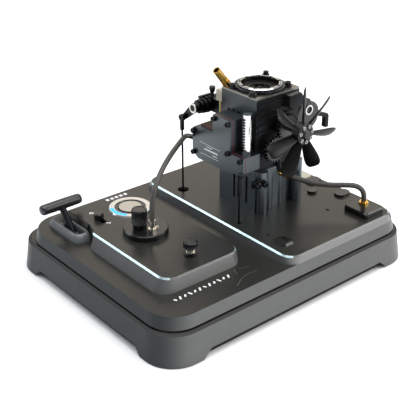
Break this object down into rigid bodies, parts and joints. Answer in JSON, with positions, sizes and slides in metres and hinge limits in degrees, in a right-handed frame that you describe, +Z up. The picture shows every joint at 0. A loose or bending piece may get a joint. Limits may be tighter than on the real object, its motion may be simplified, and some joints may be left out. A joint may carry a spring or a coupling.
{
  "type": "model glow engine on a starter base",
  "caption": "Miniature upright engine with a bladed fan, carburettor and side cover, mounted on a two-tier starter base with throttle lever, start button and fuel tank.",
  "frame": {"origin": "centre of the base at floor level", "axes": "+X along the base towards the engine end, +Y towards the operator's side with the start button, +Z up"},
  "size_m": [0.28, 0.2232, 0.1706],
  "materials": {
    "black_shell": "satin",
    "rubber_black": "matte",
    "deck_lacquer": "satin",
    "black_anodised": "satin",
    "gunmetal": "satin",
    "bright_alloy": "satin",
    "bright_steel": "polished",
    "chrome_trim": "polished",
    "brass": "polished",
    "black_plastic": "gloss",
    "fan_plastic": "satin",
    "blue_light": "gloss",
    "red_gasket": "matte",
    "cream_resin": "matte",
    "hose_silicone": "satin"
  },
  "bodies": {
    "frame": {"base_tray": "black_shell", "bottom_plate": "black_shell", "rubber_feet": "rubber_black", "seam_gasket": "rubber_black", "tier_shell": "deck_lacquer", "control_deck": "deck_lacquer", "lever_bezel": "deck_lacquer", "lever_pivot": "bright_steel", "start_bezel": "chrome_trim", "start_light_ring": "blue_light", "start_spring": "bright_steel", "fuel_tank": "bright_alloy", "tank_flange": "black_anodised", "filler_neck": "black_anodised", "fuel_fitting": "bright_steel", "primer_spring": "bright_steel", "primer_guide": "black_anodised", "engine_deck": "deck_lacquer", "deck_pads": "rubber_black", "terminal_plate": "cream_resin", "return_block": "black_plastic", "starter_battery": "bright_alloy", "engine_stand": "gunmetal", "crankcase": "black_anodised", "cylinder_block": "gunmetal", "cylinder_liner": "bright_steel", "piston": "bright_alloy", "connecting_rod": "bright_steel", "starter_motor": "bright_alloy", "starter_bracket": "black_anodised", "side_cover": "gunmetal", "side_gasket": "red_gasket", "timing_case": "gunmetal", "side_cover_bolts": "black_anodised", "coolant_column": "chrome_trim", "head_plate": "bright_alloy", "collar": "black_anodised", "collar_trim": "chrome_trim", "collar_bolts": "black_anodised", "glow_plug": "bright_steel", "exhaust_pipe": "brass", "carb_gaskets": "red_gasket", "intake_spacer": "cream_resin", "carb_body": "black_anodised", "drain_pipe": "black_anodised", "brass_fittings": "brass", "fuel_hose": "hose_silicone", "return_hose": "hose_silicone"},
    "throttle_lever": {"throttle_lever": "black_anodised", "throttle_grip": "black_plastic"},
    "start_button": {"start_button": "bright_alloy"},
    "selector_knob": {"selector_knob": "black_plastic"},
    "filler_cap": {"filler_cap": "black_plastic"},
    "primer_button": {"primer_cap": "black_plastic"},
    "timing": {"timing_gear": "bright_steel"},
    "fan": {"fan_gear": "bright_steel", "fan_hub": "fan_plastic", "fan_blades": "fan_plastic"},
    "throttle_arm": {"throttle_arm": "black_anodised"},
    "throttle_link": {"throttle_link": "black_anodised"}
  },
  "joints": [
    {"name": "throttle_lever_tilt", "type": "hinge", "parent": "frame", "child": "throttle_lever", "pos_m": [-0.11, 0.055, 0.0373], "axis": [1, 0, 0], "range_deg": [0, 76]},
    {"name": "throttle_arm_turn", "type": "hinge", "parent": "frame", "child": "throttle_arm", "pos_m": [0.009, 0.0375, 0.1305], "axis": [1, 0, 0], "range_deg": [-1, 25]},
    {"name": "throttle_link_swing", "type": "hinge", "parent": "throttle_arm", "child": "throttle_link", "pos_m": [0.0056, 0.05097, 0.11841], "axis": [1, 0, 0], "range_deg": [-25, 1]},
    {"name": "start_button_press", "type": "slide", "parent": "frame", "child": "start_button", "axis": [0, 0, -1], "range_m": [0, 0.0015], "stiffness_N_per_m": 600, "springref_m": -0.001, "deforming": ["start_spring"]},
    {"name": "selector_slide", "type": "slide", "parent": "frame", "child": "selector_knob", "axis": [0, -1, 0], "range_m": [0, 0.007]},
    {"name": "filler_cap_lift", "type": "slide", "parent": "frame", "child": "filler_cap", "axis": [0, 0, 1], "range_m": [0, 0.015]},
    {"name": "primer_press", "type": "slide", "parent": "frame", "child": "primer_button", "axis": [0, 0, -1], "range_m": [0, 0.0045], "stiffness_N_per_m": 300, "springref_m": -0.003, "deforming": ["primer_spring"]},
    {"name": "fan_spin", "type": "hinge", "parent": "frame", "child": "fan", "pos_m": [0.055, -0.049, 0.122], "axis": [0, 1, 0], "continuous": true},
    {"name": "timing_spin", "type": "hinge", "parent": "frame", "child": "timing", "pos_m": [0.04092, -0.031, 0.1051], "axis": [0, 1, 0], "continuous": true}
  ],
  "couplings": [
    {"joint": "throttle_arm_turn", "follows": "throttle_lever_tilt", "ratio": 0.3125},
    {"joint": "throttle_link_swing", "follows": "throttle_lever_tilt", "ratio": -0.3125},
    {"joint": "timing_spin", "follows": "fan_spin", "ratio": -1}
  ]
}
